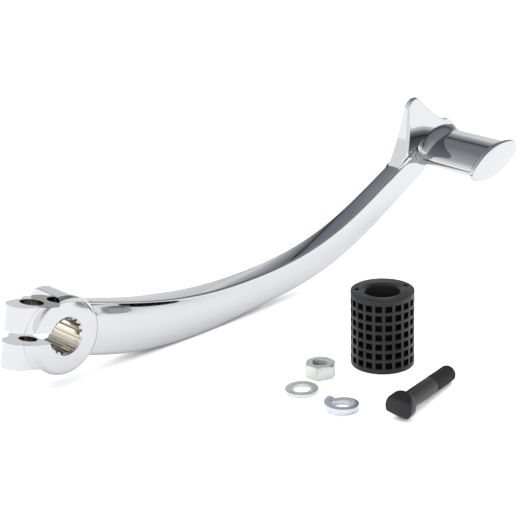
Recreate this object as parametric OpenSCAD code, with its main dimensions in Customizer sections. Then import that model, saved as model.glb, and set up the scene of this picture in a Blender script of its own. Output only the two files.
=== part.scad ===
// Kick start lever: a cast lever with a splined pinch clamp, a curved arm and a
// pedal, with its rubber, pinch bolt, nut and washers taken off and set beside it.
// Millimetres. The origin is the middle of the bore, +Y runs along the bore and
// +Z is up as the lever lies on the belly of its arm.

/* [Clamp] */
// Outer radius of the barrel round the bore
barrel_r = 19; // [18:0.1:22]
// Length of the barrel along the bore
barrel_len = 21.5; // [20:0.1:28]
// Radius of the rounding at both ends of the barrel
barrel_edge = 2.5; // [0.5:0.1:3]
// Radius of the bore at the crests of the splines
bore_r = 8; // [7:0.05:8.4]
// Depth of a spline groove below the crests
spline_depth = 0.9; // [0.5:0.05:1.2]
// Number of spline grooves round the bore
spline_count = 16; // [12:1:20]
// Share of the pitch that a groove takes
spline_share = 0.5; // [0.4:0.01:0.6]
// Angle of the first groove above the clamp's middle plane
spline_turn = 13; // [0:0.5:30]
// Width of the lead-in cone at each end of the bore
bore_lead = 0.9; // [0.3:0.05:1.2]
// Angle by which the ears stand up while the lever lies on its belly
clamp_turn = 12.4; // [6:0.1:18]
// Width of the slot that splits the clamp
slot_w = 5.2; // [3:0.1:7]
// Drop of the slot's middle below the bore axis
slot_drop = 0.4; // [0:0.1:1]
// Height of the milled seat of the bolt head above the bore axis
seat_h = 14.2; // [12:0.1:16]
// Distance from the bore axis to the wall beside the bolt head
seat_wall = 6; // [5.5:0.1:6.5]
// Depth of the lower ear's underside below the bore axis
ear_drop = 15; // [12:0.1:16]
// Radius of the spot face under the nut
spot_r = 8.4; // [7.6:0.1:9]
// Distance from the bore axis to the pinch bolt hole
hole_back = 13.6; // [13.4:0.1:15]
// Radius of the pinch bolt hole in the upper ear
hole_upper_r = 5.6; // [4.2:0.1:5.8]
// Radius of the pinch bolt hole in the lower ear
hole_lower_r = 4.4; // [4.2:0.1:4.8]
// Radius of the ears' round end
ear_end_r = 7.6; // [7:0.1:9]
// Distance from the bore axis to the middle of the ears' round end
ear_end_back = 19.8; // [18:0.1:23]
// Shift of the ears' round end towards the front
ear_end_shift = 1.1; // [0:0.1:2]
// Set-back of the ears' front and back faces from the barrel's ends
ear_set = 1.2; // [0.5:0.1:3]

/* [Arm] */
// Length of the arm's middle line from the bore to the pedal
arm_len = 268.4; // [230:0.1:300]
// Fall of the arm where it leaves the barrel, in degrees
arm_fall = 17; // [8:0.5:22]
// Heading of the arm after its first bend, in degrees above level
arm_mid_rise = 3; // [0:0.5:8]
// Heading of the arm where it reaches the pedal, in degrees above level
arm_tip_rise = 27.3; // [20:0.1:34]
// Depth of the arm's middle line below the bore axis where the arm begins
arm_drop = 0.5; // [0:0.1:3]
// Height of the arm's section at the barrel
arm_root_h = 26.6; // [20:0.1:30]
// Height of the arm's section half way along
arm_mid_h = 17; // [14:0.1:22]
// Height of the arm's section at the pedal
arm_tip_h = 15.4; // [12:0.1:17]
// Thickness of the arm along the bore at the barrel
arm_root_t = 13.6; // [10:0.1:16]
// Thickness of the arm along the bore at the pedal
arm_tip_t = 9.6; // [8:0.1:12]
// Radius of the arm's two upper edges
arm_top_edge = 1.2; // [0.8:0.1:2.5]
// Radius of the arm's two lower edges
arm_low_edge = 2.4; // [1:0.1:3.5]
// Bulge of the arm's front and back faces
arm_crown = 0.7; // [0.2:0.1:1.5]
// Set-back of the arm's front face from the barrel's front end
arm_set = 3; // [2:0.1:4]

/* [Pedal] */
// Long half width of the pedal's oval body
pedal_a = 16.2; // [14:0.1:18]
// Short half width of the pedal's oval body
pedal_b = 7.1; // [6:0.1:8]
// Radius of the pedal body's two narrow ends
pedal_end_r = 4.4; // [3:0.1:5]
// Clear length of the pedal between the fin and the end cap
pedal_len = 37; // [32:0.5:45]
// Tilt of the pedal's oval, in degrees
pedal_tilt = 15; // [5:0.5:25]
// Rim of the end cap beyond the pedal's body
cap_rim = 2.6; // [1.5:0.1:4]
// Rounding of the end cap's outer edge
cap_edge = 1.2; // [0.4:0.1:1.6]
// Rim of the arm's oval end beyond the pedal's body
end_rim = 2; // [1.2:0.1:3]
// Depth of the cove between the fin and the pedal's body
cove_d = 6.5; // [3:0.1:8]
// Reach of that cove up the fin
cove_top = 7.4; // [4:0.1:9]
// Reach of that cove towards the fin's rising edge
cove_side = 10; // [5:0.1:11]
// Reach of that cove below the pedal
cove_low = 1.6; // [1:0.1:1.8]
// Thickness of the end cap
cap_t = 2.6; // [2:0.1:4]
// Radius of the fin's round tip
fin_tip_r = 6; // [4:0.1:7]
// Middle of the fin's round tip, from the pedal's middle
fin_tip = [-16.5, 24.3];
// Foot of the fin on the arm's top, from the pedal's middle
fin_foot = [-30, -8];
// Pull of the fin's rising edge, between its foot and its tip
fin_rise = [-25.5, -1];
// Pull of the fin's falling edge, between its tip and the pedal
fin_fall = [0.5, 15.5];
// Thickness of the fin at its tip
fin_tip_t = 3.5; // [2.5:0.1:6]
// Rounding of the fin's edges
fin_edge = 1.4; // [0.6:0.1:1.6]
// Proud height of the fin before the arm's front face
fin_proud = 1.5; // [0.5:0.1:2.5]

/* [Rubber] */
// Outer radius of the pedal rubber
rubber_r = 14.9; // [13:0.1:17]
// Radius of the rubber's hole
rubber_hole_r = 8.3; // [7:0.1:9]
// Slack between the rubber's length and the pedal's clear length
rubber_slack = 0.7; // [0.5:0.1:2]
// Depth of the rubber's square windows
window_depth = 1.3; // [0.6:0.1:2]
// Rows of windows
window_rows = 7; // [5:1:9]
// Windows in one row
window_cols = 20; // [14:1:22]
// Width of the ribs between windows
rib_w = 1.5; // [1:0.1:2.2]
// Height of the plain collar at each end of the rubber
collar_h = 2.4; // [1.5:0.1:4]
// Chamfer of the rubber's hole
hole_lead = 0.9; // [0.4:0.1:1.5]
// Radius of the two moulding dimples in the rubber's end
dimple_r = 1.1; // [0.6:0.1:1.5]

/* [Fittings] */
// Nominal diameter of the pinch bolt
bolt_d = 8; // [7:0.1:8]
// Length of the bolt under its head
bolt_len = 44; // [40:0.5:55]
// Radius of the bolt's head
head_r = 6.5; // [6:0.1:7.2]
// Thickness of the bolt's head
head_t = 5; // [4:0.1:7]
// Width of the head's end face between its two slopes
head_face_w = 7; // [6:0.1:10]
// Roll of the head's slopes about the bolt's axis
head_roll = -9; // [-45:1:45]
// Chamfer at the bolt's tip
bolt_tip = 1.1; // [0.6:0.1:1.6]
// Width across the flats of the nut
nut_af = 13; // [12:0.1:14]
// Height of the nut
nut_h = 6.5; // [5:0.1:8]
// Depth of the nut's thread below the bolt's nominal radius
nut_thread = 0.6; // [0.4:0.05:0.7]
// Outer radius of the flat washer
washer_r = 7.75; // [7.5:0.05:9]
// Thickness of the flat washer
washer_t = 1.6; // [1:0.1:2.2]
// Clearance of both washers round the bolt
washer_gap = 0.35; // [0.2:0.05:0.6]
// Width of the spring washer's wire
spring_w = 3.2; // [2:0.1:3.6]
// Thickness of the spring washer's wire
spring_t = 2.2; // [1.5:0.1:2.6]
// Clearance of the spring washer round the bolt
spring_gap = 0.7; // [0.3:0.05:1]
// Rise of the spring washer between its two ends
spring_rise = 2.3; // [1:0.1:2.5]
// Angle of the cut through the spring washer
spring_cut = 8; // [5:1:20]

/* [Places on the floor] */
// Middle of the rubber, across and along the bore
rubber_at = [121.1, -93.3];
// Middle of the nut
nut_at = [90.3, -82.5];
// Turn of the nut about its own axis
nut_turn = 36; // [0:1:59]
// Middle of the flat washer
washer_at = [72.1, -88.7];
// Middle of the spring washer
spring_at = [70.9, -115.1];
// Heading of the spring washer's cut
spring_turn = 84; // [0:1:359]
// Middle of the bolt head's back face
bolt_at = [83.7, -140.4];
// Heading of the bolt
bolt_heading = 14; // [0:1:45]

/* [Hidden] */
$fn = 96;
eps = 0.01;

front_y = -barrel_len/2;
root_r = bore_r + spline_depth;

// Arm: headings, stations and section
arm_start = 0.47*barrel_r;
first_bend = [0.01, 0.46];
second_bend = [0.44, 0.83];
root_taper = [0.06, 0.51];
tip_taper = [0.5, 1];
arm_steps = 40;
arm_front_y = front_y + arm_set;
function blend(s, a, b) = let (t = min(1, max(0, (s - a)/(b - a)))) t*t*(3 - 2*t);
function heading(s) = -arm_fall + (arm_fall + arm_mid_rise)*blend(s, first_bend[0], first_bend[1])
    + (arm_tip_rise - arm_mid_rise)*blend(s, second_bend[0], second_bend[1]);
arm_run = arm_len - arm_start;
arm_step = arm_run/arm_steps;
line = [for (i = 0, p = [arm_start, -arm_drop]; i <= arm_steps;
    p = p + arm_step*[cos(heading((i + 0.5)/arm_steps)), sin(heading((i + 0.5)/arm_steps))], i = i + 1) p];
function arm_h(s) = arm_root_h - (arm_root_h - arm_mid_h)*blend(s, root_taper[0], root_taper[1])
    - (arm_mid_h - arm_tip_h)*blend(s, tip_taper[0], tip_taper[1]);
function arm_t(s) = arm_root_t + (arm_tip_t - arm_root_t)*s;
pedal_x = line[arm_steps][0];
pedal_z = line[arm_steps][1];

oval_end_steps = 6;
oval_side_steps = 8;

// The belly of the arm sets the height of the floor
floor_z = min([for (i = [0:arm_steps]) line[i][1] - arm_h(i/arm_steps)/2*cos(heading(i/arm_steps))]);

fin_front_y = arm_front_y - fin_proud;
arm_back_y = arm_front_y + arm_tip_t + 2*arm_crown;
end_edge = 1.5;
cap_fillet = 1;
cap_dome = 0.4;
cove_sink = 0.1;
cap_back_y = fin_front_y - pedal_len;
cap_a = pedal_a + cap_rim;
cap_b = pedal_b + cap_rim/2;
cap_end_r = pedal_end_r + cap_rim/4;
rubber_len = pedal_len - rubber_slack;
dimple_turns = [131, -21];

// One ring of the arm's section, u along the bore and v up, with crowned faces
function corner(cu, cv, r, a0) = [for (a = [0:30:90]) [cu + r*cos(a0 + a), cv + r*sin(a0 + a)]];
function ring(t, h) = let (
        hi = arm_top_edge, lo = arm_low_edge,
        raw = concat(corner(t/2 - hi, h/2 - hi, hi, 0), [[0, h/2]], corner(hi - t/2, h/2 - hi, hi, 90),
            [[-t/2, h/4], [-t/2, 0], [-t/2, -h/5]],
            corner(lo - t/2, lo - h/2, lo, 180), [[0, -h/2]], corner(t/2 - lo, lo - h/2, lo, 270),
            [[t/2, -h/5], [t/2, 0], [t/2, h/4]]))
    [for (p = raw) [p[0] + sign(p[0])*arm_crown*(1 - pow(2*p[1]/h, 2)), p[1]]];

module along_y(y) translate([0, y, 0]) rotate([90, 0, 0]) mirror([0, 0, 1]) children();

// Points of an arc, and of an oval made of two end arcs and two side arcs that run into each other
function arc(c, r, a0, a1, n) = [for (i = [0:n]) let (a = a0 + (a1 - a0)*i/n) c + r*[cos(a), sin(a)]];
function inner_points(list) = [for (i = [1:len(list) - 2]) list[i]];
function oval_points(a, b, r) = let (
        side_r = (pow(a - r, 2) + b*b - r*r)/(2*(b - r)),
        lean = 90 - asin((a - r)/(side_r - r)))
    concat(arc([a - r, 0], r, -lean, lean, oval_end_steps),
        inner_points(arc([0, b - side_r], side_r, lean, 180 - lean, oval_side_steps)),
        arc([r - a, 0], r, 180 - lean, 180 + lean, oval_end_steps),
        inner_points(arc([0, side_r - b], side_r, 180 + lean, 360 - lean, oval_side_steps)));

function oval_angles(a, b, r) = let (
        side_r = (pow(a - r, 2) + b*b - r*r)/(2*(b - r)),
        lean = 90 - asin((a - r)/(side_r - r)),
        ends = [for (i = [0:oval_end_steps]) -lean + 2*lean*i/oval_end_steps],
        sides = [for (i = [1:oval_side_steps - 1]) lean + (180 - 2*lean)*i/oval_side_steps])
    concat(ends, sides, [for (q = ends) q + 180], [for (q = sides) q + 180]);

module barrel_body() {
    rotate([-90, 0, 0]) rotate_extrude() {
        square_h = barrel_len - 2*barrel_edge;
        translate([0, -square_h/2]) square([barrel_r, square_h]);
        translate([0, -barrel_len/2]) square([barrel_r - barrel_edge, barrel_len]);
        for (s = [-1, 1]) translate([barrel_r - barrel_edge, s*square_h/2]) circle(r = barrel_edge, $fn = 48);
    }
}

// Point where a line from p touches the circle at c, on the given side
function touch(p, c, r, side) = let (d = c - p, n = norm(d), a = atan2(d[1], d[0]), b = asin(r/n))
    p + sqrt(n*n - r*r)*[cos(a + side*b), sin(a + side*b)];

module ears() {
    c = [-ear_end_back, -ear_end_shift];
    front = [-seat_wall, front_y + ear_set];
    back = [-seat_wall, -front_y - ear_set];
    spare = 1;
    translate([0, 0, -ear_drop]) linear_extrude(ear_drop + seat_h + spare) {
        polygon([[0, front[1]], front, touch(front, c, ear_end_r, 1), c, touch(back, c, ear_end_r, -1), back, [0, back[1]]]);
        translate(c) circle(r = ear_end_r);
    }
}

module spline_bore() {
    reach = barrel_len + 2;
    pitch = 360/spline_count;
    half = pitch*spline_share/2;
    in_x = bore_r*cos(half) - 0.3;
    along_y(-reach/2) linear_extrude(reach) {
        circle(r = bore_r);
        for (i = [0:spline_count - 1]) rotate(i*pitch + spline_turn)
            polygon([[in_x, -bore_r*sin(half)], [root_r, -bore_r*sin(half)*0.8],
                [root_r, bore_r*sin(half)*0.8], [in_x, bore_r*sin(half)]]);
    }
    for (s = [-1, 1]) rotate([s*90, 0, 0]) translate([0, 0, barrel_len/2 - bore_lead])
        cylinder(r1 = bore_r, r2 = bore_r + 1.4*bore_lead, h = bore_lead + eps);
}

module clamp_cuts() {
    far = 3*barrel_r;
    translate([-far, -far/2, -slot_w/2 - slot_drop]) cube([far, far, slot_w]);
    translate([-far - seat_wall, -far/2, seat_h]) cube([far, far, far]);
    translate([-hole_back, 0, 0]) cylinder(r = hole_upper_r, h = far);
    translate([-hole_back, 0, -far]) cylinder(r = hole_lower_r, h = far);
    translate([-hole_back, 0, -far]) cylinder(r = spot_r, h = far - ear_drop);
}

// Solid through rings of points, each anticlockwise about the way the rings run, with a hub at both ends
module loft(rings, hubs) {
    m = len(rings[0]);
    last = (len(rings) - 1)*m;
    hub = len(rings)*m;
    sides = [for (i = [0:len(rings) - 2], j = [0:m - 1]) let (a = i*m + j, b = i*m + (j + 1)%m)
        for (f = [[a, b + m, b], [a, a + m, b + m]]) f];
    ends = [for (j = [0:m - 1]) let (k = (j + 1)%m) for (f = [[hub, j, k], [hub + 1, last + k, last + j]]) f];
    polyhedron(concat([for (r = rings) each r], hubs), concat(sides, ends), convexity = 8);
}

module arm() {
    rings = [for (i = [0:arm_steps]) let (s = i/arm_steps, h = heading(s), middle_y = arm_front_y + arm_crown + arm_t(s)/2)
        [for (q = ring(arm_t(s), arm_h(s))) [line[i][0] - q[1]*sin(h), middle_y + q[0], line[i][1] + q[1]*cos(h)]]];
    loft(rings, [for (i = [0, arm_steps]) [line[i][0], arm_front_y + arm_crown + arm_t(i/arm_steps)/2, line[i][1]]]);
}

// Oval round the pedal's axis at y, grown by d all round
function oval_ring(y, a, b, r, d) = [for (p = oval_points(a + d, b + d, r + d)) pedal_point(p, y)];
function pedal_point(p, y) = [pedal_x + p[0]*cos(pedal_tilt) - p[1]*sin(pedal_tilt), y,
    pedal_z + p[0]*sin(pedal_tilt) + p[1]*cos(pedal_tilt)];
function cap_ring(y, d) = oval_ring(y, cap_a, cap_b, cap_end_r, d);
function body_ring(y, d) = oval_ring(y, pedal_a, pedal_b, pedal_end_r, d);

// The cove grows from the body to its reach, which differs with the angle a about the pedal
function cove_reach(a) = lookup((a + pedal_tilt + 360)%360, [[0, cove_low], [45, cove_low + 0.6], [90, cove_top],
    [125, cove_side], [155, cove_side - 1], [180, cove_top - 1], [225, cove_low + 0.4], [270, cove_low], [360, cove_low]]);
function cove_ring(turn) = let (points = oval_points(pedal_a, pedal_b, pedal_end_r), lean = oval_angles(pedal_a, pedal_b, pedal_end_r))
    [for (i = [0:len(points) - 1]) pedal_point(points[i] + cove_reach(lean[i])*(1 - cos(turn))*[cos(lean[i]), sin(lean[i])],
        fin_front_y - cove_d*(1 - sin(turn)) + (turn == 90 ? cove_sink : 0))];

// Pedal from the arm's back to its end cap, in one run of ovals
module pedal() {
    round_steps = [[0, 1], [1, 0]];
    cap_y = cap_back_y - cap_t;
    back = [for (k = round_steps) body_ring(arm_back_y - end_edge*k[0], end_rim - end_edge*k[1])];
    cove = [for (turn = [90:-22.5:0]) cove_ring(turn)];
    body = [body_ring(cap_back_y + cap_fillet, 0), body_ring(cap_back_y, 0.7*cap_fillet)];
    cap = concat([cap_ring(cap_back_y, 0)],
        [for (k = [1, 0]) cap_ring(cap_y + cap_edge*round_steps[k][0], -cap_edge*round_steps[k][1])]);
    loft(concat(back, [body_ring(fin_front_y + 1, end_rim)], cove, body, cap),
        [[pedal_x, arm_back_y, pedal_z], [pedal_x, cap_y - cap_dome, pedal_z]]);
}

// Fin: its outline from the pedal's middle, and its front and back, which lie closer together towards its tip
function bow(a, pull, b, n) = [for (i = [0:n]) let (t = i/n) (1 - t)*(1 - t)*a + 2*t*(1 - t)*pull + t*t*b];
function inset(p, d) = let (n = len(p)) [for (i = [0:n - 1]) let (run = p[(i + 1)%n] - p[(i + n - 1)%n], t = run/norm(run))
    p[i] + d*[-t[1], t[0]]];
fin_outline = concat(
    bow([0.9*pedal_a, 0.9*pedal_b], fin_fall, fin_tip + fin_tip_r*[cos(48), sin(48)], 5),
    inner_points(arc(fin_tip, fin_tip_r, 48, 180, 7)),
    bow(fin_tip - [fin_tip_r, 0], fin_rise, fin_foot, 5),
    [[fin_foot[0]/2, fin_foot[1]], [pedal_a*0.7, 0]]);
fin_hub = [fin_tip[0]/2, fin_tip[1]/3];
function fin_front(z) = fin_front_y + (fin_proud + 1)*blend(-z, -1, 4);
function fin_back(z) = let (tip_z = fin_tip[1] + fin_tip_r, foot_y = arm_back_y - 0.3, tip_y = fin_front_y + fin_tip_t)
    foot_y + (tip_y - foot_y)*(z - fin_foot[1])/(tip_z - fin_foot[1]);

module fin() {
    round_steps = [[0, 1], [1, 0]];
    rings = concat(
        [for (k = round_steps) [for (p = inset(fin_outline, fin_edge*k[1])) [p[0], fin_back(p[1]) - fin_edge*k[0], p[1]]]],
        [for (k = [round_steps[1], round_steps[0]])
            [for (p = inset(fin_outline, fin_edge*k[1])) [p[0], fin_front(p[1]) + fin_edge*k[0], p[1]]]]);
    translate([pedal_x, 0, pedal_z])
        loft(rings, [[fin_hub[0], fin_back(fin_hub[1]), fin_hub[1]], [fin_hub[0], fin_front(fin_hub[1]), fin_hub[1]]]);
}

module lever() color("gainsboro") difference() {
    union() {
        difference() {
            union() {
                barrel_body();
                rotate([0, clamp_turn, 0]) ears();
            }
            rotate([0, clamp_turn, 0]) clamp_cuts();
        }
        arm();
        pedal();
        fin();
    }
    rotate([0, clamp_turn, 0]) spline_bore();
}

module pedal_rubber() color([0.09, 0.09, 0.1]) {
    field = rubber_len - 2*collar_h;
    pitch = (field + rib_w)/window_rows;
    open_h = pitch - rib_w;
    open_w = 2*PI*rubber_r/window_cols - rib_w;
    translate([rubber_at[0], rubber_at[1], floor_z]) difference() {
        cylinder(r = rubber_r, h = rubber_len);
        translate([0, 0, -eps]) cylinder(r = rubber_hole_r, h = rubber_len + 2*eps);
        translate([0, 0, -eps]) cylinder(r1 = rubber_hole_r + hole_lead, r2 = rubber_hole_r, h = hole_lead);
        translate([0, 0, rubber_len - hole_lead + eps]) cylinder(r1 = rubber_hole_r, r2 = rubber_hole_r + hole_lead, h = hole_lead);
        for (a = dimple_turns) rotate(a) translate([(rubber_r + rubber_hole_r)/2 + 0.3, 0, rubber_len - dimple_r/2])
            cylinder(r = dimple_r, h = dimple_r);
        for (i = [0:window_rows - 1], j = [0:window_cols - 1])
            rotate(j*360/window_cols)
                translate([rubber_r - window_depth, -open_w/2, collar_h + i*pitch])
                    cube([2*window_depth, open_w, open_h]);
    }
}

module bolt_head() {
    slope_w = 2*head_r + 1;
    rotate(head_roll) intersection() {
        cylinder(r = head_r, h = head_t);
        rotate([90, 0, 0]) translate([0, 0, -head_r - 1]) linear_extrude(2*head_r + 2)
            polygon([[-slope_w/2, 0], [slope_w/2, 0], [head_face_w/2, head_t], [-head_face_w/2, head_t]]);
    }
}

module pinch_bolt() color([0.16, 0.16, 0.17]) {
    dip = asin((head_r - bolt_d/2)/bolt_len);
    translate([bolt_at[0], bolt_at[1], floor_z + head_r*cos(dip)])
        rotate([0, 0, bolt_heading]) rotate([0, 90 + dip, 0]) {
            cylinder(r = bolt_d/2, h = bolt_len - bolt_tip);
            translate([0, 0, bolt_len - bolt_tip]) cylinder(r1 = bolt_d/2, r2 = bolt_d/2 - bolt_tip, h = bolt_tip);
            rotate([180, 0, 0]) bolt_head();
        }
}

module hex_nut() color("silver") {
    corner_r = nut_af/2/cos(30);
    edge = corner_r - nut_af/2;
    edge_h = edge*0.6;
    inner = bolt_d/2 - nut_thread;
    translate([nut_at[0], nut_at[1], floor_z]) rotate(nut_turn) difference() {
        intersection() {
            cylinder(r = corner_r, h = nut_h, $fn = 6);
            union() {
                cylinder(r1 = nut_af/2, r2 = nut_af/2 + edge, h = edge_h);
                translate([0, 0, edge_h]) cylinder(r = corner_r, h = nut_h - 2*edge_h);
                translate([0, 0, nut_h - edge_h]) cylinder(r1 = nut_af/2 + edge, r2 = nut_af/2, h = edge_h);
            }
        }
        translate([0, 0, -eps]) cylinder(r = inner, h = nut_h + 2*eps);
        translate([0, 0, -eps]) cylinder(r1 = bolt_d/2, r2 = inner, h = nut_thread + eps);
        translate([0, 0, nut_h - nut_thread]) cylinder(r1 = inner, r2 = bolt_d/2, h = nut_thread + eps);
    }
}

module flat_washer() color("silver") translate([washer_at[0], washer_at[1], floor_z]) difference() {
    cylinder(r = washer_r, h = washer_t);
    translate([0, 0, -eps]) cylinder(r = bolt_d/2 + washer_gap, h = washer_t + 2*eps);
}

module spring_washer() color("lightsteelblue") {
    turns = 60;
    inner = bolt_d/2 + spring_gap;
    outer = inner + spring_w;
    points = [for (i = [0:turns]) let (a = spring_turn + spring_cut/2 + i*(360 - spring_cut)/turns, z = spring_rise*(1 - i/turns))
        for (q = [[inner, 0], [outer, 0], [outer, spring_t], [inner, spring_t]]) [q[0]*cos(a), q[0]*sin(a), q[1] + z]];
    sides = [for (i = [0:turns - 1], j = [0:3]) let (a = 4*i + j, b = 4*i + (j + 1)%4)
        for (f = [[a, b + 4, b], [a, a + 4, b + 4]]) f];
    last = 4*turns;
    translate([spring_at[0], spring_at[1], floor_z])
        polyhedron(points, concat(sides, [[0, 1, 2, 3], [last + 3, last + 2, last + 1, last]]), convexity = 4);
}

lever();
pedal_rubber();
pinch_bolt();
hex_nut();
flat_washer();
spring_washer();
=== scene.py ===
import math

import bmesh
import bpy
from bpy.props import FloatProperty, FloatVectorProperty, IntProperty, PointerProperty
from mathutils import Matrix, Vector


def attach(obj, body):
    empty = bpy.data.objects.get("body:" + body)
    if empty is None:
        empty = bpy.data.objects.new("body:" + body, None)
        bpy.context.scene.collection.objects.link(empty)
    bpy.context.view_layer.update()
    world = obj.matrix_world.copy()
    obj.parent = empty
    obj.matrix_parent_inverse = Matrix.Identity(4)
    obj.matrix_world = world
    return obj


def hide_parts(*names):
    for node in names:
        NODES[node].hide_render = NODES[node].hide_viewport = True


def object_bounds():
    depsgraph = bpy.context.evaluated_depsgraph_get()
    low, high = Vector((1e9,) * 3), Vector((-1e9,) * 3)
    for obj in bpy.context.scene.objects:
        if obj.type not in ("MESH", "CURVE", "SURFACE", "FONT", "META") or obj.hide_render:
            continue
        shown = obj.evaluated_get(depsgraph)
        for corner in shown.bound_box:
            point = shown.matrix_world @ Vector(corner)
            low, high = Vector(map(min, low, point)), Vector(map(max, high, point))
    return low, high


bl_info = {
    "name": "Kick Start Lever",
    "version": (1, 0, 0),
    "blender": (4, 5, 0),
    "location": "3D View > Sidebar > Lever",
    "description": "Dresses a kick start lever and the fittings that lie beside it",
    "category": "Object",
}

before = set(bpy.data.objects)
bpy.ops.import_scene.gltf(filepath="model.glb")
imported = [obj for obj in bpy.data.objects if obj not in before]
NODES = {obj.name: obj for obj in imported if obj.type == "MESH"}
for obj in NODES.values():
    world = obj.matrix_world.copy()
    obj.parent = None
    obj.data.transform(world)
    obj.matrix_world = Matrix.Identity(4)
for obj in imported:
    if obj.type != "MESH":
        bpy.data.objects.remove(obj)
CAD_BOX = [list(corner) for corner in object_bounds()]
MM = 0.001
FLOOR = CAD_BOX[0][2]

# Corners nearer than this are one, in metres, and faces that turn less than this are one, in radians
WELD, FLAT = 2e-6, math.radians(0.4)
# Steps along the arm, steps of a rounded edge, and points round a thread and rings to a turn of it
ARM_STEPS, EDGE_STEPS, THREAD_POINTS, THREAD_RINGS = 180, 6, 48, 12
# Shares of the arm's length over which it bends and over which it tapers
BENDS, TAPERS = ((0.01, 0.46), (0.44, 0.83)), ((0.06, 0.51), (0.5, 1.0))


# Colours and nodes
def linear(code):
    """The linear colour of an sRGB hex code such as "#C0C0C0"."""
    parts = [int(code[i:i + 2], 16) / 255 for i in (1, 3, 5)]
    return tuple(p / 12.92 if p <= 0.04045 else ((p + 0.055) / 1.055) ** 2.4 for p in parts)


def add(tree, kind, inputs=None, **settings):
    """Adds a node, with its settings, and its inputs as values or as sockets to link from."""
    node = tree.nodes.new(kind)
    for name, value in settings.items():
        setattr(node, name, value)
    for name, value in (inputs or {}).items():
        if isinstance(value, bpy.types.NodeSocket):
            tree.links.new(value, node.inputs[name])
        else:
            node.inputs[name].default_value = value
    return node


def surface(name, colour, **sockets):
    """A material with one Principled shader. Returns the material, its tree and the shader."""
    made = bpy.data.materials.new(name)
    made.use_nodes = True
    tree = made.node_tree
    tree.nodes.clear()
    shader = add(tree, "ShaderNodeBsdfPrincipled", {"Base Color": (*colour, 1.0), **sockets})
    add(tree, "ShaderNodeOutputMaterial", {"Surface": shader.outputs[0]})
    return made, tree, shader


def mixed(tree, share, base, colour):
    """A socket that runs from the base to that colour by the share. Sockets 6 and 7 are the mix's colours."""
    return add(tree, "ShaderNodeMix", {0: share, 6: base, 7: colour}, data_type="RGBA").outputs[2]


def waves(tree, shader, scale_mm, height_mm, detail=2.0):
    """Lets a noise of that size and height stir the shader's normal."""
    coords = add(tree, "ShaderNodeTexCoord")
    grain = add(tree, "ShaderNodeTexNoise",
                {"Vector": coords.outputs["Object"], "Scale": 1 / (scale_mm * MM), "Detail": detail})
    bump = add(tree, "ShaderNodeBump",
               {"Height": grain.outputs["Fac"], "Distance": height_mm * MM, "Strength": 1.0})
    tree.links.new(bump.outputs["Normal"], shader.inputs["Normal"])


# Materials
def chrome_plate():
    """Steel casting, polished and chrome plated: a clear mirror that wavers a little on its wide faces."""
    made, tree, shader = surface("chrome plate on polished steel", linear("#A5A6A7"),
                                 Metallic=1.0, Roughness=0.045)
    waves(tree, shader, 14.0, 0.01, 1.0)
    return made


def nickel_bore():
    """Bare nickel under the chrome, which doesn't reach into holes: a warm, duller metal."""
    made, tree, shader = surface("nickel in the broached bore", linear("#B8B2A6"),
                                 Metallic=1.0, Roughness=0.15)
    waves(tree, shader, 0.8, 0.01)
    return made


def moulded_rubber():
    """Moulded natural rubber with carbon black: matt, with a faint sheen on its ribs."""
    made, tree, shader = surface("moulded black rubber", linear("#0E0E0F"), Roughness=0.5)
    shader.inputs["Specular IOR Level"].default_value = 0.3
    waves(tree, shader, 0.5, 0.01)
    return made


def window_shade_rubber():
    """The same rubber in the depth of its windows, where hardly any light gets in: painted shade, deep black
    and with hardly any sheen.
    """
    made, _, shader = surface("rubber with painted shade in the windows", linear("#060606"), Roughness=0.7)
    shader.inputs["Specular IOR Level"].default_value = 0.06
    return made


def black_oxide():
    """Black oxide on forged steel: nearly black, with a soft oily shine."""
    made, tree, shader = surface("black oxide on forged steel", linear("#101011"),
                                 Metallic=0.1, Roughness=0.42)
    shader.inputs["Specular IOR Level"].default_value = 0.25
    waves(tree, shader, 0.6, 0.012)
    return made


def zinc_plate():
    """Zinc plate, passivated clear: a pale grey metal with a broad, soft reflection."""
    made, tree, shader = surface("clear passivated zinc plate", linear("#AFB3AE"),
                                 Metallic=0.85, Roughness=0.38)
    waves(tree, shader, 0.9, 0.008)
    return made


def bright_zinc():
    """Bright zinc on spring steel: bluish and shinier than the flat washer."""
    made, tree, shader = surface("bright zinc on spring steel", linear("#ACAFB5"),
                                 Metallic=0.88, Roughness=0.36)
    waves(tree, shader, 1.2, 0.01)
    return made


# Meshes
def join_up(name, verts, faces, *materials):
    """A new object of that mesh, in the row frame."""
    mesh = bpy.data.meshes.new(name)
    mesh.from_pydata(verts, [], faces)
    made = bpy.data.objects.new(name, mesh)
    bpy.context.scene.collection.objects.link(made)
    for material in materials:
        mesh.materials.append(material)
    return made


def finish_piece(made, slot, *nodes, smooth_angle=math.radians(32)):
    """Shades a piece smooth up to that angle, ties it to the root body and hides the CAD nodes it stands in
    for; the slot is not used.
    """
    mesh = made.data
    mesh.validate()
    mesh.shade_smooth()
    mesh.set_sharp_from_angle(angle=smooth_angle)
    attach(made, "root")
    if nodes:
        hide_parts(*nodes)
    return made


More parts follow.
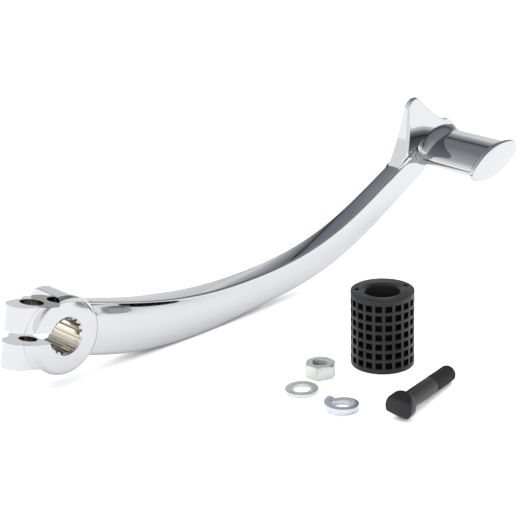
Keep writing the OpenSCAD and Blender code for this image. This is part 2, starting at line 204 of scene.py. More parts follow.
def softened(node, name, edge_mm, angle=math.radians(28), segments=2, drop=None, move=None):
    """A copy of a CAD node, moved and without the faces to drop, with its sharp edges rounded."""
    mesh = NODES[node].data.copy()
    mesh.name = name
    mesh.materials.clear()
    bm = bmesh.new()
    bm.from_mesh(mesh)
    bmesh.ops.remove_doubles(bm, verts=bm.verts, dist=WELD)
    if move:
        for vert in bm.verts:
            move(vert.co)
    if drop:
        dropped = [f for f in bm.faces if drop([v.co for v in f.verts])]
        bmesh.ops.delete(bm, geom=dropped, context="FACES")
    bmesh.ops.dissolve_limit(bm, angle_limit=FLAT, verts=bm.verts, edges=bm.edges,
                             use_dissolve_boundaries=False)
    sharp = [e for e in bm.edges if len(e.link_faces) == 2 and e.calc_face_angle(0) > angle]
    if edge_mm:
        bmesh.ops.bevel(bm, geom=sharp, offset=edge_mm * MM, segments=segments, profile=0.5,
                        affect="EDGES", clamp_overlap=True)
    bm.to_mesh(mesh)
    bm.free()
    made = bpy.data.objects.new(name, mesh)
    bpy.context.scene.collection.objects.link(made)
    return made


# Forms in millimetres
QUARTER = [math.radians(90 * k / EDGE_STEPS) for k in range(EDGE_STEPS + 1)]


def blend(s, a, b):
    """Runs smoothly from 0 at a to 1 at b."""
    t = min(1.0, max(0.0, (s - a) / (b - a)))
    return t * t * (3 - 2 * t)


def arm_line(settings):
    """Places and headings along the middle of the arm, from inside the barrel to the pedal's axis."""
    fall, middle_rise, tip_rise = settings.arm_fall, settings.arm_mid_rise, settings.arm_tip_rise

    def heading(s):
        return math.radians(-fall + (fall + middle_rise) * blend(s, *BENDS[0])
                            + (tip_rise - middle_rise) * blend(s, *BENDS[1]))
    start = settings.arm_start * settings.barrel
    step = (settings.arm_length - start) / ARM_STEPS
    x, z, line = start, -settings.arm_drop, []
    for i in range(ARM_STEPS + 1):
        line.append((x, z, heading(i / ARM_STEPS)))
        middle = heading((i + 0.5) / ARM_STEPS)
        x, z = x + step * math.cos(middle), z + step * math.sin(middle)
    return line


def arc(x, y, r, a0, a1, steps):
    """Points of an arc about (x, y), from one angle to the other."""
    angles = [math.radians(a0 + (a1 - a0) * i / steps) for i in range(steps + 1)]
    return [(x + r * math.cos(a), y + r * math.sin(a)) for a in angles]


def bow(a, pull, b, steps):
    """Points of a curve from a to b that a third point pulls out."""
    shares = [i / steps for i in range(steps + 1)]
    return [tuple((1 - t) * (1 - t) * a[k] + 2 * t * (1 - t) * pull[k] + t * t * b[k] for k in (0, 1))
            for t in shares]


def middle_of(ring):
    """The mean of a ring's points."""
    return tuple(sum(p[k] for p in ring) / len(ring) for k in range(3))


def section(settings, t, h):
    """The arm's section, u along the bore and v up: crisp at the top, rounder below, crowned at its sides."""
    top, low = settings.arm_top_edge, settings.arm_low_edge
    corners = (arc(t / 2 - top, h / 2 - top, top, 0, 90, 6), arc(top - t / 2, h / 2 - top, top, 90, 180, 6),
               arc(low - t / 2, low - h / 2, low, 180, 270, 8),
               arc(t / 2 - low, low - h / 2, low, 270, 360, 8))
    out = []
    for i, count in enumerate((4, 14, 4, 14)):
        (u0, v0), (u1, v1) = corners[i][-1], corners[(i + 1) % 4][0]
        out += corners[i]
        out += [(u0 + (u1 - u0) * k / count, v0 + (v1 - v0) * k / count) for k in range(1, count)]

    def bulge(u, v):
        side = settings.arm_crown * (1 - (2 * v / h) ** 2)
        fall = settings.arm_top_crown * (2 * u / t) ** 2 if v > h / 2 - 0.2 else 0
        return u + math.copysign(side, u) if abs(u) > 1e-9 else u, v - fall
    return [bulge(u, v) for u, v in out]


def oval(a, b, r, end_steps=20, side_steps=36):
    """An oval of two end arcs and two side arcs that run into each other, and its heading at each point."""
    side = ((a - r) ** 2 + b * b - r * r) / (2 * (b - r))
    lean = 90 - math.degrees(math.asin((a - r) / (side - r)))
    ends = [-lean + 2 * lean * i / end_steps for i in range(end_steps + 1)]
    sides = [lean + (180 - 2 * lean) * i / side_steps for i in range(1, side_steps)]
    out = []
    for angles, x, y, radius in ((ends, a - r, 0, r), (sides, 0, b - side, side),
                                 ([q + 180 for q in ends], r - a, 0, r),
                                 ([q + 180 for q in sides], 0, side - b, side)):
        for q in angles:
            c, d = math.cos(math.radians(q)), math.sin(math.radians(q))
            out.append((x + radius * c, y + radius * d, q))
    return out


def lofted(name, rings, hubs, material):
    """A closed skin through rings of points in millimetres, with a hub at both ends."""
    m = len(rings[0])
    verts = [tuple(c * MM for c in p) for ring in (*rings, hubs) for p in ring]
    faces = []
    for i in range(len(rings) - 1):
        for j in range(m):
            a, b = i * m + j, i * m + (j + 1) % m
            faces.append((a, b, b + m, a + m))
    hub, last = len(rings) * m, (len(rings) - 1) * m
    for j in range(m):
        k = (j + 1) % m
        faces += [(k, j, hub), (last + j, last + k, hub + 1)]
    return join_up(name, verts, faces, material)


def arm_skin(settings, material):
    """The arm, curved and tapered, from inside the barrel to the pedal's middle."""
    root, halfway, tip = settings.arm_root_height, settings.arm_mid_height, settings.arm_tip_height
    rings = []
    for i, (x, z, h) in enumerate(arm_line(settings)):
        s = i / ARM_STEPS
        height = root - (root - halfway) * blend(s, *TAPERS[0]) - (halfway - tip) * blend(s, *TAPERS[1])
        t = settings.arm_root_depth + (settings.arm_tip_depth - settings.arm_root_depth) * s
        middle = settings.arm_front + settings.arm_crown + t / 2
        rings.append([(x - v * math.sin(h), middle + u, z + v * math.cos(h))
                      for u, v in section(settings, t, height)])
    # The first rings would reach into the bore
    rings = rings[3:]
    return lofted("lever_arm", rings, [middle_of(rings[0]), middle_of(rings[-1])], material)


def fin_face(settings, z):
    """Place along the bore of the fin's front at a height above the pedal's middle. Its tip leans back."""
    lean = settings.fin_lean * max(0.0, z - 4) / 26
    return settings.arm_front - settings.fin_proud + lean + (settings.fin_proud + 1) * blend(-z, -1, 4)


def cove_reach(settings, angle):
    """How far the cove round the pedal's foot reaches at that angle about the pedal."""
    low, top, side = settings.cove_low, settings.cove_top, settings.cove_side
    table = [(0, low), (45, low + 0.2), (60, 0.34 * top), (75, 0.6 * top), (87, 0.84 * top), (93, top),
             (105, top + 0.9), (120, 0.85 * side), (129, side), (135, 0.85 * side), (141, 0.4 * side),
             (148, low), (360, low)]
    a = (angle + settings.pedal_tilt) % 360
    for (a0, r0), (a1, r1) in zip(table, table[1:]):
        if a0 <= a <= a1:
            return r0 + (r1 - r0) * (a - a0) / (a1 - a0)
    return low


def pedal_skin(settings, material):
    """The pedal in one run of ovals: the arm's rounded end, the cove, the body and the end cap."""
    px, pz, _ = arm_line(settings)[-1]
    tilt = math.radians(settings.pedal_tilt)
    a, b, r = settings.pedal_half_width, settings.pedal_half_height, settings.pedal_end_radius
    fin_front = settings.arm_front - settings.fin_proud
    back = settings.arm_front + settings.arm_tip_depth + 2 * settings.arm_crown
    cap_back = fin_front - settings.pedal_length
    cap_front = cap_back - settings.cap_depth

    def ring(y, width, height, radius, grow):
        c, s = math.cos(tilt), math.sin(tilt)
        return [(px + u * c - v * s, y, pz + u * s + v * c)
                for u, v, _ in oval(width + grow, height + grow, radius + grow)]

    full = settings.cove_turn

    def cove(turn):
        share_out = (1 - math.cos(turn)) / (1 - math.cos(full))
        share_down = 1 - math.sin(turn) / math.sin(full)
        points = []
        for u, v, q in oval(a, b, r):
            out = cove_reach(settings, q) * share_out
            u, v = u + out * math.cos(math.radians(q)), v + out * math.sin(math.radians(q))
            x, z = u * math.cos(tilt) - v * math.sin(tilt), u * math.sin(tilt) + v * math.cos(tilt)
            deep = min(fin_face(settings, z) + 0.1, fin_front + 0.9)
            points.append((px + x, deep - (deep - fin_front + settings.cove_depth) * share_down, pz + z))
        return points

    # Arm's rounded end
    edge, rim, steps = settings.end_edge, settings.end_rim, settings.cove_steps
    rings = [ring(back, a, b, r, rim - edge - 0.3)]
    rings += [ring(back - edge * (1 - math.cos(q)), a, b, r, rim - edge * (1 - math.sin(q))) for q in QUARTER]
    rings.append(ring(fin_front + 1, a, b, r, rim))
    # Cove and body
    rings += [cove(full * k / steps) for k in range(steps, -1, -1)]
    body_run = cap_back - fin_front + settings.cove_depth
    rings += [ring(fin_front - settings.cove_depth + body_run * k / 6, a, b, r, 0) for k in range(1, 6)]
    # Cap, with a fillet before it, two rounded edges and a face a little proud in its middle
    fillet, lip, near, far, bulge = (settings.cap_fillet, settings.cap_rim, settings.cap_back_edge,
                                     settings.cap_edge, settings.cap_bulge)
    wide, high, turn = a + lip, b + lip / 2, r + lip / 4
    rings += [ring(cap_back + fillet * (1 - math.sin(q)), a, b, r, fillet * (1 - math.cos(q)))
              for q in QUARTER]
    rings.append(ring(cap_back, a, b, r, fillet + 0.2))
    rings.append(ring(cap_back, wide, high, turn, -near - 0.3))
    rings += [ring(cap_back - near * (1 - math.cos(q)), wide, high, turn, -near * (1 - math.sin(q)))
              for q in QUARTER]
    rings += [ring(cap_front + far * (1 - math.sin(q)), wide, high, turn, -far * (1 - math.cos(q)))
              for q in QUARTER]
    face = ring(cap_front, wide, high, turn, -far)
    for k in (0.97, 0.8, 0.55, 0.3, 0.1):
        rings.append([(px + (x - px) * k, y - bulge * (1 - k * k), pz + (z - pz) * k) for x, y, z in face])
    return lofted("lever_pedal", rings, [(px, back, pz), (px, cap_front - bulge, pz)], material)


def fin_skin(settings, material):
    """The fin at the arm's end, thinner towards its rounded tip."""
    px, pz, _ = arm_line(settings)[-1]
    fin_front = settings.arm_front - settings.fin_proud
    back = settings.arm_front + settings.arm_tip_depth + 2 * settings.arm_crown
    tip, foot, r, turn = settings.fin_tip, settings.fin_foot, settings.fin_radius, settings.fin_tip_turn
    fall, shoulder, pull = settings.fin_fall, settings.fin_shoulder, settings.fin_shoulder_pull
    tip_start = (tip[0] + r * math.cos(math.radians(turn)), tip[1] + r * math.sin(math.radians(turn)))
    outline = (bow(settings.fin_end, pull, shoulder, 10)[:-1] + bow(shoulder, fall, tip_start, 20)
               + arc(tip[0], tip[1], r, turn, 180, 24)[1:-1]
               + bow((tip[0] - r, tip[1]), settings.fin_rise, foot, 20)
               + [(foot[0] / 2, foot[1]), (settings.pedal_half_width * 0.7, 0.0)])
    count = len(outline)

    def inset(d):
        out = []
        for i in range(count):
            before, after = outline[i - 1], outline[(i + 1) % count]
            run = (after[0] - before[0], after[1] - before[1])
            size = math.hypot(*run)
            out.append((outline[i][0] - d * run[1] / size, outline[i][1] + d * run[0] / size))
        return out

    def face_back(z):
        foot_y, tip_y = back - 0.3, fin_front + settings.fin_tip_depth + 0.8 * settings.fin_lean
        return foot_y + (tip_y - foot_y) * (z - foot[1]) / (tip[1] + r - foot[1])

    edge, hub = settings.fin_edge, (tip[0] / 2, tip[1] / 3)
    rings = [[(x, face_back(z), z) for x, z in inset(edge + 0.25)]]
    rings += [[(x, face_back(z) - edge * (1 - math.cos(q)), z) for x, z in inset(edge * (1 - math.sin(q)))]
              for q in QUARTER]
    rings += [[(x, fin_face(settings, z) + edge * (1 - math.sin(q)), z)
               for x, z in inset(edge * (1 - math.cos(q)))] for q in QUARTER]
    rings.append([(x, fin_face(settings, z), z) for x, z in inset(edge + 0.25)])
    rings.append([(hub[0], face_back(hub[1]), hub[1]), (hub[0], fin_face(settings, hub[1]), hub[1])])
    *rings, hubs = [[(px + x, y, pz + z) for x, y, z in ring] for ring in rings]
    return lofted("lever_fin", rings, hubs, material)


def ear_fillets(settings, material):
    """Small fillets where the front of the ears runs into the barrel's rounded rim."""
    barrel, edge = settings.barrel, settings.barrel_edge
    front, rise = settings.arm_front - settings.barrel_proud, math.tan(settings.ear_slope)
    lean = math.radians(35)
    start = (barrel - edge + edge * math.sin(lean), front + edge - edge * math.cos(lean))
    c, d = math.cos(settings.clamp_turn), math.sin(settings.clamp_turn)
    steps, made = 24, []
    for low, high in (settings.upper_ear, settings.lower_ear):
        rings = []
        for i in range(steps + 1):
            a0, a1 = math.asin(low / barrel), math.asin(high / barrel)
            across = math.cos(a0 + (a1 - a0) * i / steps)

            def flat(r):
                return front + settings.ear_set_back + rise * (r * across - 6)
            bend = start[0] + (flat(start[0]) - start[1]) / (math.tan(lean) - rise * across)
            end = bend + 0.9 * (bend - start[0])
            # A curve from the barrel's rim to the ear's side, and a point inside both
            profile = bow(start, (bend, flat(bend)), (end, flat(end) - 0.01), 10)
            profile.append((barrel - 1.0, flat(bend) + 0.8))
            ring = []
            for r, y in profile:
                b0, b1 = math.asin(low / r), math.asin(high / r)
                a = b0 + (b1 - b0) * i / steps
                x, z = -r * math.cos(a), r * math.sin(a)
                ring.append((x * c + z * d, y, z * c - x * d))
            rings.append(ring)
        piece = lofted("lever_fillet", rings, [middle_of(rings[0]), middle_of(rings[-1])], material)
        bm = bmesh.new()
        bm.from_mesh(piece.data)
        bmesh.ops.recalc_face_normals(bm, faces=bm.faces)
        bm.to_mesh(piece.data)
        bm.free()
        made.append(piece)
    return made


def thread_depth(turns, depth):
    """Depth below the crest at that many turns along a thread: a flat crest, two slopes and a round root."""
    f = abs((turns % 1.0) * 2 - 1)
    t = min(1.0, max(0.0, (f - 0.12) / 0.8))
    return depth * (1 - t * t * (3 - 2 * t) if f < 0.92 else 0.0)


# Settings
def length(name, description, default, low, high):
    """A setting that is a length in millimetres."""
    return FloatProperty(name=name, description=description + ", in millimetres", default=default,
                         min=low, max=high)


def spot(name, description, default):
    """A setting that is a place in the plane of the arm, from the pedal's middle."""
    return FloatVectorProperty(name=name, size=2, default=default,
                               description=description + ", in millimetres from the pedal's middle")


def place(name, description, default):
    """A setting that is a place on the floor, from the splined bore."""
    return FloatVectorProperty(name=name, size=2, default=default,
                               description=description + ", in millimetres")


def degrees(name, description, default):
    """A setting that is an angle in degrees."""
    return FloatProperty(name=name, description=description + ", in degrees", default=default)


def angle(name, description, default):
    """A setting that is an angle in radians, given here in degrees."""
    return FloatProperty(name=name, description=description, subtype="ANGLE", default=math.radians(default))


class LeverSettings(bpy.types.PropertyGroup):
    edge: length("Clamp edge", "Rounding of the clamp's sharp edges", 0.5, 0.0, 1.0)
    bore_reach: length("Bore reach", "Radius round the bore inside which the nickel shows", 8.95, 8.0, 9.5)
    bore_half: length("Bore half", "Half the length of bore that the nickel shows in", 9.8, 8.0, 9.8)
    barrel: length("Barrel", "Radius of the barrel", 19.0, 18.0, 22.0)
    barrel_edge: length("Barrel edge", "Rounding of the barrel's front rim", 2.5, 1.0, 3.0)
    barrel_proud: length("Barrel proud", "How far the barrel stands out before the arm", 3.0, 2.0, 4.0)
    ear_slope: angle("Ear slope", "Angle by which the ears' sides close in", 3.5)
    ear_set_back: length("Ear set back", "Depth of the ears' sides behind the barrel's front", 1.2, 0.5, 2.5)
    upper_ear: FloatVectorProperty(name="Upper ear", description="Lower and upper side of the upper ear",
                                   size=2, default=(2.2, 14.2))
    lower_ear: FloatVectorProperty(name="Lower ear", description="Upper and lower side of the lower ear",
                                   size=2, default=(-3.0, -15.0))
    clamp_turn: angle("Clamp turn", "Angle by which the ears lean", 12.4)
    hole_back: length("Hole place", "Distance of the bolt's hole behind the bore", 13.6, 13.4, 15.0)
    hole_radius: length("Hole radius", "Radius of the wider hole for the bolt", 5.6, 4.2, 5.8)
    arm_length: length("Arm length", "Length along the arm, from bore to pedal", 268.4, 230.0, 300.0)
    arm_front: length("Arm front", "Place of the arm's front face along the bore", -7.75, -9.0, -6.0)
    arm_start: FloatProperty(name="Arm start", default=0.47,
                             description="Share of the barrel's radius where the arm starts")
    arm_fall: degrees("Arm fall", "Fall of the arm as it leaves the barrel", 17.0)
    arm_mid_rise: degrees("Arm middle rise", "Rise of the arm in its middle", 3.0)
    arm_tip_rise: degrees("Arm tip rise", "Rise of the arm at its tip", 27.3)
    arm_drop: length("Arm drop", "Height of the bore above the arm's start", 0.5, 0.0, 3.0)
    arm_root_height: length("Arm root height", "Height of the arm at the barrel", 26.6, 20.0, 30.0)
    arm_mid_height: length("Arm middle height", "Height of the arm in its middle", 17.0, 14.0, 22.0)
    arm_tip_height: length("Arm tip height", "Height of the arm at the pedal", 15.4, 12.0, 17.0)
    arm_root_depth: length("Arm root depth", "Depth of the arm at the barrel", 13.6, 10.0, 16.0)
    arm_tip_depth: length("Arm tip depth", "Depth of the arm at the pedal", 9.6, 8.0, 12.0)
    arm_top_edge: length("Arm top edge", "Rounding of the arm's upper edges", 1.2, 0.8, 2.5)
    arm_low_edge: length("Arm lower edge", "Rounding of the arm's lower edges", 2.4, 1.0, 3.5)
    arm_crown: length("Arm crown", "Crown of the arm's sides", 0.7, 0.2, 1.5)
    arm_top_crown: length("Arm top crown", "Crown of the arm's top", 0.3, 0.0, 0.8)
    pedal_half_width: length("Pedal half width", "Half the pedal's width", 16.2, 14.0, 18.0)
    pedal_half_height: length("Pedal half height", "Half the pedal's height", 7.1, 6.0, 8.0)
    pedal_end_radius: length("Pedal edge radius", "Radius of the pedal's narrow edges", 4.4, 3.0, 5.0)
    pedal_length: length("Pedal length", "Length of the pedal, from the fin to the cap", 37.0, 32.0, 45.0)
    pedal_tilt: degrees("Pedal tilt", "Tilt of the pedal", 15.0)
    end_edge: length("End edge", "Rounding of the arm's end behind the pedal", 1.5, 0.5, 2.0)
    end_rim: length("End rim", "Rim of the arm's end round the pedal", 0.6, 0.5, 3.0)
    cap_rim: length("Cap rim", "Rim of the end cap beyond the pedal's narrow edges", 2.6, 1.5, 4.0)
    cap_depth: length("Cap depth", "Depth of the end cap", 2.6, 2.0, 4.0)
    cap_edge: length("Cap edge", "Rounding of the end cap's outer edge", 1.2, 0.4, 1.6)
    cap_back_edge: length("Cap back edge", "Rounding of the end cap's inner edge", 0.5, 0.2, 1.0)
    cap_fillet: length("Cap fillet", "Fillet between the pedal's body and its cap", 1.0, 0.4, 1.5)
    cap_bulge: length("Cap bulge", "How far the end cap's middle stands out", 0.4, 0.0, 0.8)
    cove_steps: IntProperty(name="Cove steps", description="Steps across the cove", default=14, min=4, max=24)
    cove_turn: angle("Cove turn", "Turn of the cove's curve", 40.0)
    cove_depth: length("Cove depth", "Depth of the cove between the fin and the pedal", 5.0, 3.0, 8.0)
    cove_top: length("Cove top", "Reach of the cove up the fin", 3.6, 2.0, 9.0)
    cove_side: length("Cove side", "Reach of the cove towards the fin's rising edge", 4.6, 2.0, 15.0)
    cove_low: length("Cove below", "Reach of the cove below the pedal", 0.5, 0.3, 1.8)
    fin_proud: length("Fin proud", "How far the fin stands out before the arm", 1.5, 0.5, 2.5)
    fin_radius: length("Fin radius", "Radius of the fin's tip", 6.0, 4.0, 7.0)
    fin_tip_depth: length("Fin tip depth", "Depth of the fin at its tip", 3.5, 2.5, 6.0)
    fin_lean: length("Fin lean", "How far the fin's front leans back at its tip", 2.6, 0.0, 3.0)
    fin_edge: length("Fin edge", "Rounding of the fin's edges", 1.4, 0.6, 1.6)
    fin_tip: spot("Fin tip", "Middle of the fin's tip", (-16.5, 24.3))
    fin_foot: spot("Fin foot", "Foot of the fin on the arm", (-30.0, -8.0))
    fin_rise: spot("Fin rise", "Pull of the fin's rising edge", (-25.5, -1.0))
    fin_tip_turn: degrees("Fin tip turn", "Angle at which the falling edge leaves the fin's round tip", 48.0)
    fin_fall: spot("Fin fall", "Pull of the fin's falling edge", (1.0, 15.0))
    fin_shoulder: spot("Fin shoulder", "Shoulder in the fin's falling edge", (6.2, 14.6))
    fin_shoulder_pull: spot("Fin shoulder pull", "Pull of that edge below its shoulder", (11.2, 14.0))
    fin_end: spot("Fin end", "Where the fin's falling edge meets the pedal", (15.9, 7.4))


class FittingSettings(bpy.types.PropertyGroup):
    pitch: length("Pitch", "Pitch of the thread", 1.25, 0.5, 2.0)
    thread_depth: length("Thread depth", "Depth of the thread", 0.6, 0.3, 1.0)
    thread_length: length("Thread length", "Length of the bolt's thread", 18.5, 5.0, 40.0)
    bolt_radius: length("Bolt radius", "Radius of the bolt's shank", 4.0, 3.5, 4.0)
    bolt_length: length("Bolt length", "Length of the bolt below its head", 44.0, 40.0, 55.0)
    bolt_tip: length("Bolt tip", "Chamfer of the bolt's end", 1.1, 0.6, 1.6)
    head_radius: length("Head radius", "Radius of the bolt's head", 6.5, 6.0, 7.2)
    bolt_place: place("Bolt place", "Place of the bolt's head", (83.7, -140.4))
    bolt_heading: angle("Bolt heading", "Heading of the bolt as it lies", 14.0)
    rubber_place: place("Rubber place", "Place of the rubber's axis", (121.1, -93.3))
    rubber_radius: length("Rubber radius", "Outer radius of the rubber", 14.9, 13.0, 17.0)
    window_extra: length("Window depth", "Extra depth of the rubber's windows", 1.3, 0.0, 3.0)
    window_top: length("Window top", "Height under which the windows lie", 34.0, 30.0, 35.0)
    rubber_hole: length("Rubber hole", "Radius of the rubber's hole", 8.3, 7.0, 9.0)
    nut_place: place("Nut place", "Place of the nut", (90.3, -82.5))
    nut_height: length("Nut height", "Height of the nut", 6.5, 5.0, 8.0)


class StageSettings(bpy.types.PropertyGroup):
    camera_place: FloatVectorProperty(name="Camera", description="Place of the camera", subtype="TRANSLATION",
                                      unit="LENGTH", default=(-0.4123, -0.5886, 0.3023))
    azimuth: angle("Azimuth", "Heading of the camera", -42.68)
    elevation: angle("Elevation", "Height of the camera above level", 20.83)
    roll: angle("Roll", "Roll of the camera", -1.68)
    lens: FloatProperty(name="Lens", description="Focal length on a 36 mm sensor", subtype="DISTANCE_CAMERA",
                        default=116.8)
    soft: angle("Softness", "Width of the soft lights as the object sees them", 85.0)
    sky: FloatProperty(name="Sky", description="Strength of the walls", default=1.9, min=0.0, max=4.0)
    light: FloatProperty(name="Light", description="Strength of the lights", default=1.4, min=0.0, max=4.0)


# Operators
class OBJECT_OT_lever_casting(bpy.types.Operator):
    """Softens the lever's edges and plates it"""
    bl_idname = "object.lever_casting"
    bl_label = "Lever Casting"

    def execute(self, context):
        settings = context.scene.lever_settings
        chrome, nickel = chrome_plate(), nickel_bore()
        reach = settings.barrel + 0.03

        def on_arm(corners):
            return all(c.x > 0 and math.hypot(c.x, c.z) * 1000 > reach for c in corners)
        clamp = softened("lever", "lever_clamp", settings.edge, drop=on_arm)
        mesh = clamp.data
        mesh.materials.append(chrome)
        mesh.materials.append(nickel)
        # Nickel in the splined bore, and on the walls of the bolt's holes
        c, d = math.cos(settings.clamp_turn), math.sin(settings.clamp_turn)
        for face in mesh.polygons:
            p, n = face.center * 1000, face.normal
            in_bore = math.hypot(p.x, p.z) < settings.bore_reach and abs(p.y) < settings.bore_half
            from_hole = math.hypot(p.x * c - p.z * d + settings.hole_back, p.y)
            if in_bore or from_hole < settings.hole_radius + 0.1 and abs(n.x * d + n.z * c) < 0.5:
                face.material_index = 1
        for made in (clamp, arm_skin(settings, chrome), pedal_skin(settings, chrome),
                     fin_skin(settings, chrome), *ear_fillets(settings, chrome)):
            finish_piece(made, "chrome", "lever")
            made.modifiers.new("even normals", "WEIGHTED_NORMAL").keep_sharp = True
        return {"FINISHED"}


class OBJECT_OT_lever_fittings(bpy.types.Operator):
    """Finishes the rubber, the bolt, the nut and the washers"""
    bl_idname = "object.lever_fittings"
    bl_label = "Loose Fittings"

    def execute(self, context):
        settings = context.scene.fitting_settings
        zinc, oxide = zinc_plate(), black_oxide()

        def deepen(co):
            """Draws the floors of the rubber's windows in by their extra depth."""
            x, y = co.x - settings.rubber_place[0] * MM, co.y - settings.rubber_place[1] * MM
            out = math.hypot(x, y)
            in_wall = (settings.rubber_hole + 2) * MM < out < (settings.rubber_radius - 0.9) * MM
            if in_wall and co.z < FLOOR + settings.window_top * MM:
                pull = settings.window_extra * MM / out
                co.x, co.y = co.x - x * pull, co.y - y * pull
        for node, name, edge, slot, material in (
                ("pedal_rubber", "rubber_sleeve", 0.15, "rubber", moulded_rubber()),
                ("flat_washer", "flat_washer_plated", 0.25, "zinc", zinc),
                ("spring_washer", "spring_washer_plated", 0.2, "spring_steel", bright_zinc())):
            made = softened(node, name, edge, move=deepen if node == "pedal_rubber" else None)
            made.data.materials.append(material)
            if node == "pedal_rubber":
                # The window faces take a darker copy of the rubber: painted shade in the recesses
                made.data.materials.append(window_shade_rubber())
                x, y = settings.rubber_place
                low, high = settings.rubber_hole + 1, settings.rubber_radius - 0.55
                for face in made.data.polygons:
                    out = math.hypot(face.center.x * 1000 - x, face.center.y * 1000 - y)
                    if low < out < high and abs(face.normal.z) < 0.9:
                        face.material_index = 1
            finish_piece(made, slot, node)
        pitch, depth, radius = settings.pitch, settings.thread_depth, settings.bolt_radius
        rounds = [math.tau * j / THREAD_POINTS for j in range(THREAD_POINTS)]
        # Bolt, its head from the solid and its shank turned anew with a thread
        bolt = settings.bolt_length
        dip = math.asin((settings.head_radius - radius) / bolt)
        axis_height = FLOOR * 1000 + settings.head_radius * math.cos(dip)
        lay = (Matrix.Translation(Vector((*settings.bolt_place, axis_height)))
               @ Matrix.Rotation(settings.bolt_heading, 4, "Z") @ Matrix.Rotation(math.pi / 2 + dip, 4, "Y"))
        back = lay.inverted()

        def on_shank(corners):
            return all(p.z > -0.02 and math.hypot(p.x, p.y) < radius + 0.02
                       for p in (back @ (v * 1000) for v in corners))
        head = softened("pinch_bolt", "pinch_bolt_head", 0.35, drop=on_shank)
        head.data.materials.append(oxide)
        finish_piece(head, "black_oxide", "pinch_bolt")
        rings = []
        start = bolt - settings.thread_length
        steps = int(bolt / pitch * THREAD_RINGS)
        for i in range(steps + 1):
            z = -1 + (bolt + 1) * i / steps
            cut = blend(z, start - pitch, start + pitch)
            limit = radius - max(0.0, z - bolt + settings.bolt_tip)
            ring = []
            for a in rounds:
                r = min(limit, radius - cut * (depth - thread_depth(z / pitch - a / math.tau, depth)))
                ring.append(tuple(lay @ Vector((r * math.cos(a), r * math.sin(a), z))))
            rings.append(ring)
        ends = [tuple(lay @ Vector((0, 0, z))) for z in (-1, bolt)]
        shank = lofted("pinch_bolt_shank", rings, ends, oxide)
        finish_piece(shank, "black_oxide", "pinch_bolt", smooth_angle=math.radians(50))
        # Nut, its outside from the solid and its hole cut anew with a thread
        nx, ny = settings.nut_place
        inner, tall, base = radius - depth, settings.nut_height, FLOOR * 1000

        def in_hole(corners):
            return all(math.hypot(v.x * 1000 - nx, v.y * 1000 - ny) < radius + 0.05 for v in corners)
        nut = softened("hex_nut", "hex_nut_plated", 0.12, drop=in_hole)
        nut.data.materials.append(zinc)
        finish_piece(nut, "zinc", "hex_nut")
        verts, faces = [], []
        steps = int(tall / pitch * THREAD_RINGS)
        for i in range(steps + 1):
            z = tall * i / steps
            mouth = radius - min(z, tall - z)
            for a in rounds:
                r = max(mouth, inner + depth - thread_depth(z / pitch - a / math.tau, depth))
                verts.append(((nx + r * math.cos(a)) * MM, (ny + r * math.sin(a)) * MM, (base + z) * MM))
        count = THREAD_POINTS
        for i in range(steps):
            for j in range(count):
                a, b = i * count + j, i * count + (j + 1) % count
                faces.append((a, a + count, b + count, b))
        thread = join_up("hex_nut_thread", verts, faces, zinc)
        finish_piece(thread, "zinc", "hex_nut", smooth_angle=math.radians(50))
        return {"FINISHED"}


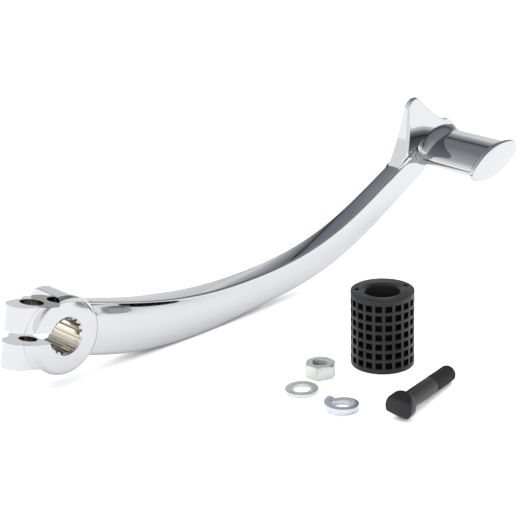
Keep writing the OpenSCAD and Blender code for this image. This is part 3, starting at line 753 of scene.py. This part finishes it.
class OBJECT_OT_lever_stage(bpy.types.Operator):
    """Builds the white floor, the studio's walls and lights and the camera"""
    bl_idname = "object.lever_stage"
    bl_label = "Studio"

    def execute(self, context):
        settings = context.scene.lever_stage_settings
        scene = context.scene
        # Floor, white enough to melt into the walls
        half = 4.0
        corners = [(-half, -half, FLOOR), (half, -half, FLOOR), (half, half, FLOOR), (-half, half, FLOOR)]
        paper, _, _ = surface("white paper floor", linear("#F4F4F4"), Roughness=0.9)
        floor = join_up("studio_floor", corners, [(0, 1, 2, 3)], paper)
        # Walls white up to a height, and a darker ceiling that the chrome picks up
        world = bpy.data.worlds.new("white tent with a grey ceiling")
        world.use_nodes = True
        tree = world.node_tree
        tree.nodes.clear()
        coords = add(tree, "ShaderNodeTexCoord")
        split = add(tree, "ShaderNodeSeparateXYZ", {"Vector": coords.outputs["Generated"]})
        ramp = add(tree, "ShaderNodeValToRGB", {"Fac": split.outputs["Z"]})
        stops = ramp.color_ramp.elements
        stops[0].position, stops[0].color = 0.30, (1, 1, 1, 1)
        stops[1].position, stops[1].color = 0.42, (0.46, 0.47, 0.49, 1)
        for position, grey, blue in ((0.57, 0.17, 0.02), (0.592, 0.14, 0.02), (0.60, 0.02, 0.0),
                                     (0.612, 0.02, 0.0), (0.622, 0.13, 0.04), (0.69, 0.2, 0.04),
                                     (1.0, 0.24, 0.04)):
            stops.new(position).color = (grey, grey + blue / 4, grey + blue, 1)
        # Lighter towards -X, which the clamp's ears mirror
        side = add(tree, "ShaderNodeMapRange",
                   {"Value": split.outputs["X"], "From Min": 0.2, "From Max": -0.75, "To Max": 0.85},
                   clamp=True)
        tint = mixed(tree, side.outputs["Result"], ramp.outputs["Color"], (0.9, 0.9, 0.92, 1.0))
        # Far wall, a grey that rounds off the edges turned away from the camera
        away = add(tree, "ShaderNodeVectorMath", {0: coords.outputs["Generated"], 1: (0.7, 0.7, 0.0)},
                   operation="DOT_PRODUCT")
        far = add(tree, "ShaderNodeMapRange",
                  {"Value": away.outputs["Value"], "From Min": 0.8, "From Max": 0.93}, clamp=True)
        wall = add(tree, "ShaderNodeMapRange",
                   {"Value": split.outputs["Z"], "From Min": 0.40, "From Max": 0.30}, clamp=True)
        both = add(tree, "ShaderNodeMath", {0: far.outputs["Result"], 1: wall.outputs["Result"]},
                   operation="MULTIPLY")
        shade = mixed(tree, both.outputs[0], tint, (0.6, 0.61, 0.63, 1.0))
        back = add(tree, "ShaderNodeBackground", {"Color": shade, "Strength": settings.sky})
        add(tree, "ShaderNodeOutputWorld", {"Surface": back.outputs[0]})
        scene.world = world
        # Tones straight from the lights, so that the white floor stays white
        scene.view_settings.view_transform = "Standard"
        # Soft lights from three sides that the mirror finish doesn't show
        for name, azimuth, height, power in (("key", 200, 58, 1.2), ("fill", 320, 52, 1.0),
                                             ("back", 62, 52, 2.3)):
            data = bpy.data.lights.new(name, "SUN")
            data.energy, data.angle = power * settings.light, settings.soft
            light = bpy.data.objects.new(name, data)
            light.rotation_euler = (math.radians(90 - height), 0, math.radians(azimuth + 90))
            light.visible_glossy = False
            scene.collection.objects.link(light)
        data = bpy.data.cameras.new("camera")
        data.lens, data.sensor_width = settings.lens, 36.0
        camera = bpy.data.objects.new("camera", data)
        camera.rotation_mode = "QUATERNION"
        turn = (Matrix.Rotation(settings.azimuth, 3, "Z")
                @ Matrix.Rotation(math.pi / 2 - settings.elevation, 3, "X")
                @ Matrix.Rotation(settings.roll, 3, "Z"))
        camera.rotation_quaternion = turn.to_quaternion()
        camera.location = settings.camera_place
        scene.collection.objects.link(camera)
        scene.camera = camera
        return {"FINISHED"}


class VIEW3D_PT_lever(bpy.types.Panel):
    """Lists the lever's settings and its operators"""
    bl_label = "Kick Start Lever"
    bl_space_type = "VIEW_3D"
    bl_region_type = "UI"
    bl_category = "Lever"

    def draw(self, context):
        layout = self.layout
        scene = context.scene
        for group, settings in (("Lever", scene.lever_settings), ("Fittings", scene.fitting_settings),
                                ("Stage", scene.lever_stage_settings)):
            box = layout.box()
            box.label(text=group)
            for name in settings.__annotations__:
                box.prop(settings, name)
        for operator in OPERATORS:
            layout.operator(operator.bl_idname)


OPERATORS = (OBJECT_OT_lever_casting, OBJECT_OT_lever_fittings, OBJECT_OT_lever_stage)
CLASSES = (LeverSettings, FittingSettings, StageSettings, *OPERATORS, VIEW3D_PT_lever)


def register():
    for cls in CLASSES:
        bpy.utils.register_class(cls)
    bpy.types.Scene.lever_settings = PointerProperty(type=LeverSettings)
    bpy.types.Scene.fitting_settings = PointerProperty(type=FittingSettings)
    bpy.types.Scene.lever_stage_settings = PointerProperty(type=StageSettings)


def unregister():
    del bpy.types.Scene.lever_stage_settings
    del bpy.types.Scene.fitting_settings
    del bpy.types.Scene.lever_settings
    for cls in reversed(CLASSES):
        bpy.utils.unregister_class(cls)


def main():
    register()
    bpy.ops.object.lever_casting()
    bpy.ops.object.lever_fittings()
    bpy.ops.object.lever_stage()


if __name__ == "__main__":
    main()
